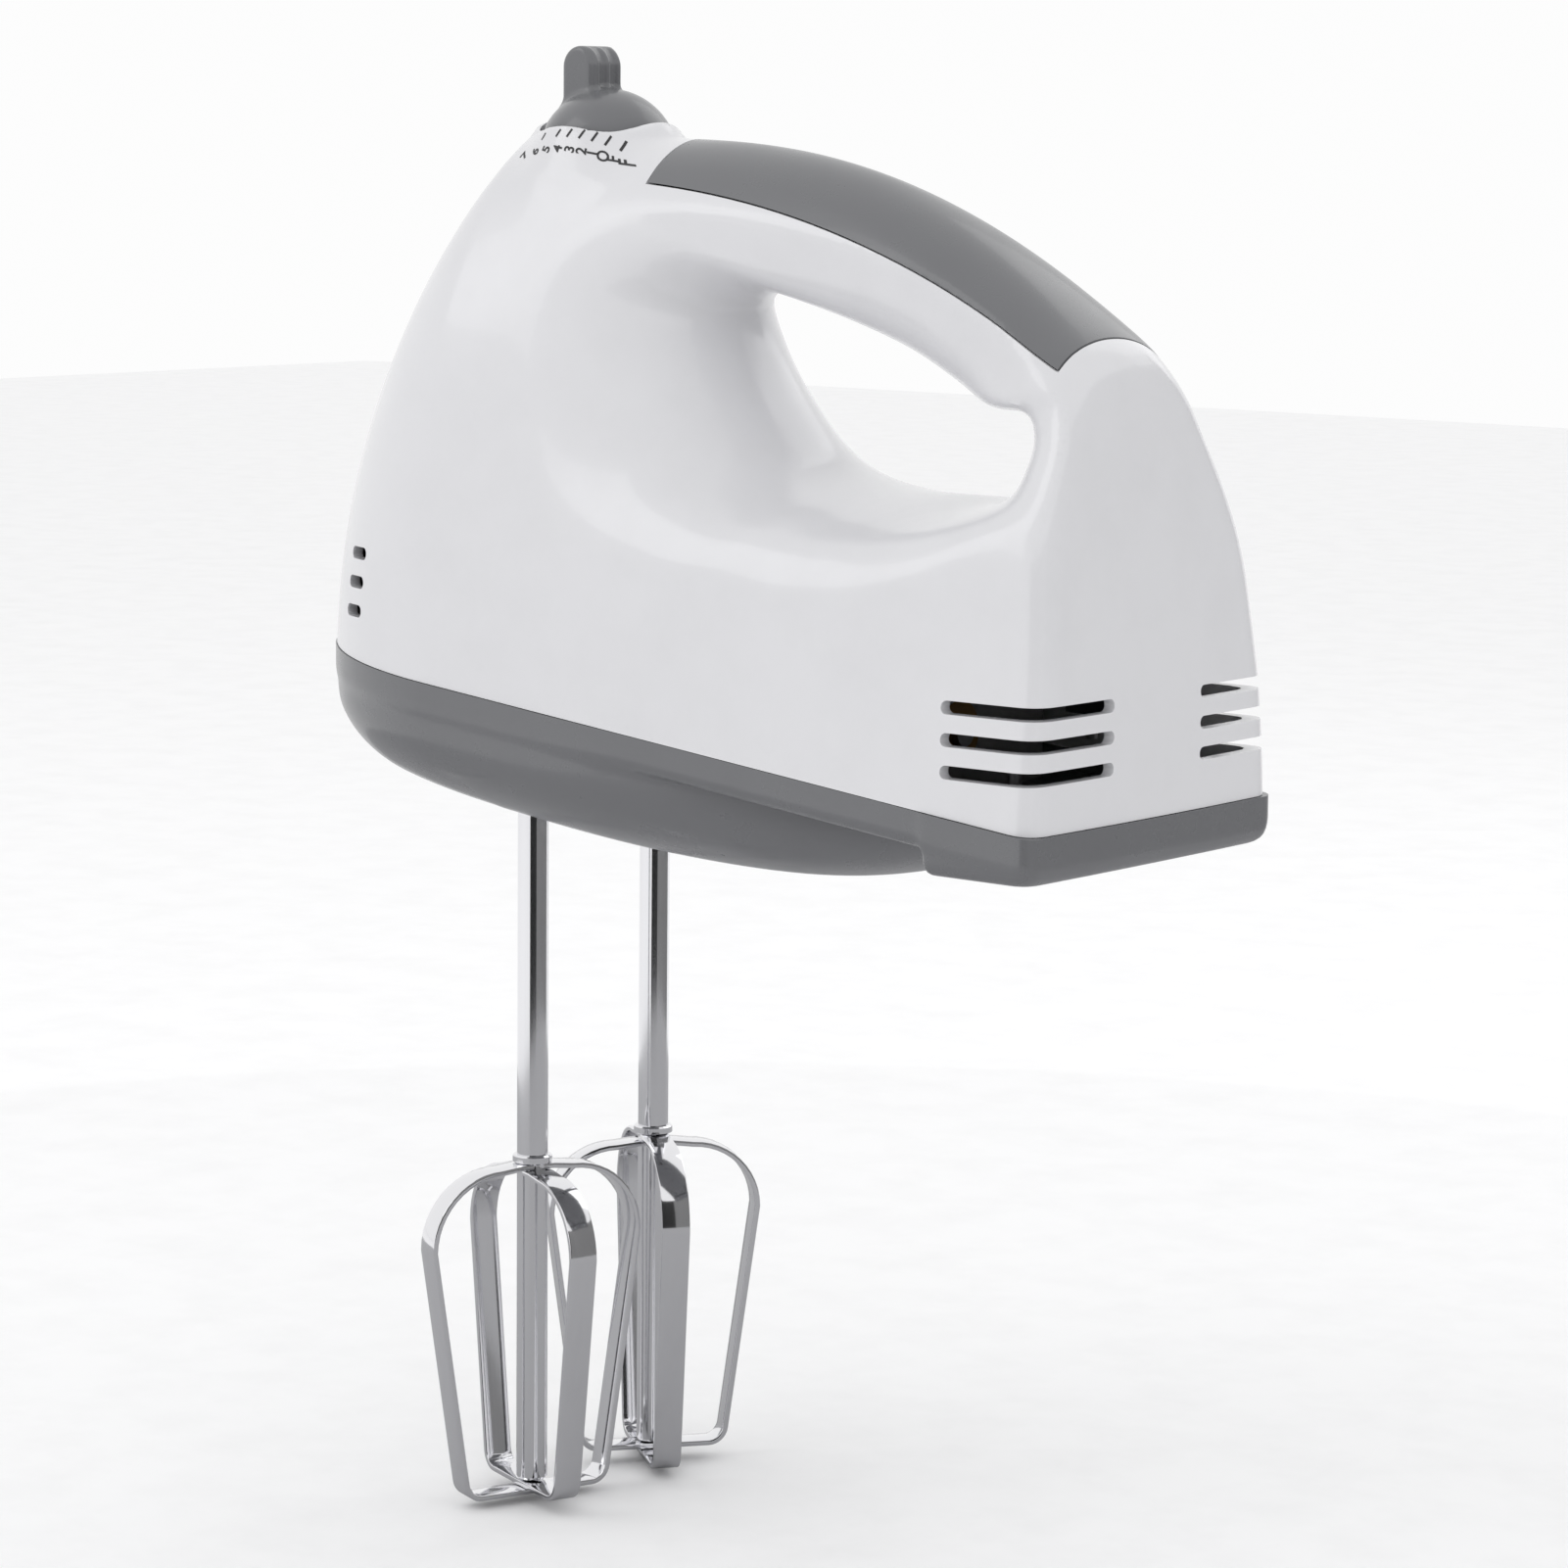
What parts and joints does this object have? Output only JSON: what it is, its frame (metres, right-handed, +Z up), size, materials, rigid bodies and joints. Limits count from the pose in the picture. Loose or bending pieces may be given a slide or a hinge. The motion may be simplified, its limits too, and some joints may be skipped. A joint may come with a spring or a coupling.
{
  "type": "hand mixer",
  "caption": "Hand mixer with a closed handle loop, a thumb dial, a worm drive and two counter-rotating wire beaters that slide out when the dial is pressed.",
  "frame": {"origin": "centre of the body's length and width, at the level of the beater tips", "axes": "+X from the nose to the heel, +Y to the side away from the printed scale, +Z up along the beaters"},
  "size_m": [0.1939, 0.0771, 0.28],
  "materials": {
    "white_housing": "glossy moulded",
    "grey_plastic": "glossy moulded",
    "steel": "bright",
    "white_nylon": "moulded",
    "gear_nylon": "moulded",
    "beater_chrome": "polished",
    "black_plastic": "moulded",
    "brass": "bright",
    "phenolic": "moulded",
    "iron": "laminated",
    "copper": "enamelled",
    "zinc": "cast",
    "bronze": "sintered",
    "yellow_film": "moulded",
    "rubber": "moulded",
    "red_wire": "insulated"
  },
  "bodies": {
    "root": {"upper_housing": "white_housing", "handle_cover": "grey_plastic", "bottom_cover": "grey_plastic", "housing_screws": "steel", "cover_screws": "steel", "switch_base": "black_plastic", "switch_contacts": "brass", "gear_frame": "white_nylon", "gear_cap": "white_nylon", "gear_cap_screws": "steel", "stator_core": "iron", "field_coils": "copper", "front_bracket": "zinc", "rear_bracket": "zinc", "front_bearing": "bronze", "rear_bearing": "bronze", "motor_screws": "steel", "brush_holders": "brass", "carbon_brushes": "black_plastic", "brush_springs": "steel", "brush_caps": "black_plastic", "filter_capacitor": "yellow_film", "cord_bushing": "rubber", "cord_clamp": "black_plastic", "cord_clamp_screws": "steel", "motor_leads": "red_wire"},
    "ejector": {"ejector_rod": "white_nylon", "ejector_yoke": "white_nylon", "ejector_spring": "steel"},
    "dial": {"speed_dial": "grey_plastic", "dial_spindle": "white_nylon", "dial_clip": "steel", "switch_rotor": "phenolic"},
    "rotor": {"motor_shaft": "steel", "worm": "steel", "armature_core": "iron", "armature_winding": "copper", "commutator": "copper", "cooling_fan": "black_plastic"},
    "left_drive": {"left_gear": "gear_nylon", "left_spring_clip": "steel"},
    "right_drive": {"right_gear": "gear_nylon", "right_spring_clip": "steel"},
    "left_beater": {"left_beater_shaft": "beater_chrome", "left_beater_loops": "beater_chrome", "left_beater_collar": "beater_chrome"},
    "right_beater": {"right_beater_shaft": "beater_chrome", "right_beater_loops": "beater_chrome", "right_beater_collar": "beater_chrome"}
  },
  "joints": [
    {"name": "rotor_spin", "type": "hinge", "parent": "root", "child": "rotor", "pos_m": [-0.0355, 0, 0.1575], "axis": [1, 0, 0], "continuous": true},
    {"name": "left_drive_spin", "type": "hinge", "parent": "root", "child": "left_drive", "pos_m": [-0.0355, -0.018, 0.1575], "axis": [0, 0, 1], "continuous": true},
    {"name": "right_drive_spin", "type": "hinge", "parent": "root", "child": "right_drive", "pos_m": [-0.0355, 0.018, 0.1575], "axis": [0, 0, 1], "continuous": true},
    {"name": "left_beater_slide", "type": "slide", "parent": "left_drive", "child": "left_beater", "axis": [0, 0, -1], "range_m": [0, 0.034]},
    {"name": "right_beater_slide", "type": "slide", "parent": "right_drive", "child": "right_beater", "axis": [0, 0, -1], "range_m": [0, 0.034]},
    {"name": "eject_press", "type": "slide", "parent": "root", "child": "ejector", "axis": [0, 0, -1], "range_m": [0, 0.0045], "stiffness_N_per_m": 1500, "springref_m": -0.006, "deforming": ["ejector_spring"]},
    {"name": "dial_turn", "type": "hinge", "parent": "ejector", "child": "dial", "pos_m": [-0.033, 0, 0.263], "axis": [0, 0, -1], "range_deg": [0, 120]}
  ],
  "couplings": [
    {"joint": "left_drive_spin", "follows": "rotor_spin", "ratio": 0.038462},
    {"joint": "right_drive_spin", "follows": "rotor_spin", "ratio": -0.038462},
    {"joint": "right_beater_slide", "follows": "left_beater_slide", "ratio": 1},
    {"joint": "eject_press", "follows": "left_beater_slide", "ratio": 0.13235}
  ]
}
